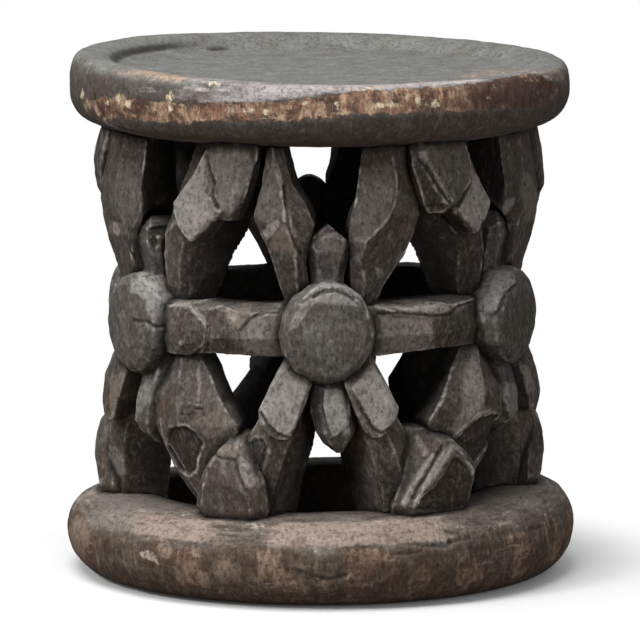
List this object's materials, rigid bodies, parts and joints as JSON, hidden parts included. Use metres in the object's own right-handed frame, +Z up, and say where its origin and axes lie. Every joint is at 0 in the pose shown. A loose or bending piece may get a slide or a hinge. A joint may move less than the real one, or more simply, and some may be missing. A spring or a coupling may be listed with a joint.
{
  "type": "carved stool",
  "caption": "Low round wooden stool: dished seat on an openwork cage of carved spider figures, standing on a thick ring base.",
  "frame": {"origin": "centre of the foot, on the floor, under the stool's axis", "axes": "+Z up along the stool's axis, -Y towards the front, +X to the right seen from the front"},
  "size_m": [0.41, 0.41, 0.4166],
  "materials": {
    "seat_wood": "dark carved hardwood, worn and handled, matte to satin",
    "base_wood": "dark carved hardwood with dust and wear, matte",
    "cage_wood": "dark adzed hardwood, matte, paler on the worn edges",
    "boss_wood": "dark adzed hardwood, rubbed smooth, matte"
  },
  "bodies": {
    "root": {"seat": "seat_wood", "base_ring": "base_wood", "spider_1": "boss_wood", "arm_1": "cage_wood", "top_block_1": "cage_wood", "knee_1": "cage_wood", "upper_leg_left_1": "cage_wood", "lower_leg_left_1": "cage_wood", "upper_leg_right_1": "cage_wood", "lower_leg_right_1": "cage_wood", "spider_2": "boss_wood", "arm_2": "cage_wood", "top_block_2": "cage_wood", "knee_2": "cage_wood", "upper_leg_right_2": "cage_wood", "lower_leg_right_2": "cage_wood", "upper_leg_left_2": "cage_wood", "lower_leg_left_2": "cage_wood", "spider_3": "boss_wood", "arm_3": "cage_wood", "top_block_3": "cage_wood", "knee_3": "cage_wood", "upper_leg_right_3": "cage_wood", "lower_leg_right_3": "cage_wood", "upper_leg_left_3": "cage_wood", "lower_leg_left_3": "cage_wood", "spider_4": "boss_wood", "arm_4": "cage_wood", "top_block_4": "cage_wood", "knee_4": "cage_wood", "upper_leg_left_4": "cage_wood", "lower_leg_left_4": "cage_wood", "upper_leg_right_4": "cage_wood", "lower_leg_right_4": "cage_wood", "spider_5": "boss_wood", "arm_5": "cage_wood", "top_block_5": "cage_wood", "knee_5": "cage_wood", "upper_leg_left_5": "cage_wood", "lower_leg_left_5": "cage_wood", "upper_leg_right_5": "cage_wood", "lower_leg_right_5": "cage_wood", "spider_6": "boss_wood", "arm_6": "cage_wood", "top_block_6": "cage_wood", "knee_6": "cage_wood", "upper_leg_left_6": "cage_wood", "lower_leg_left_6": "cage_wood", "upper_leg_right_6": "cage_wood", "lower_leg_right_6": "cage_wood"}
  },
  "joints": []
}
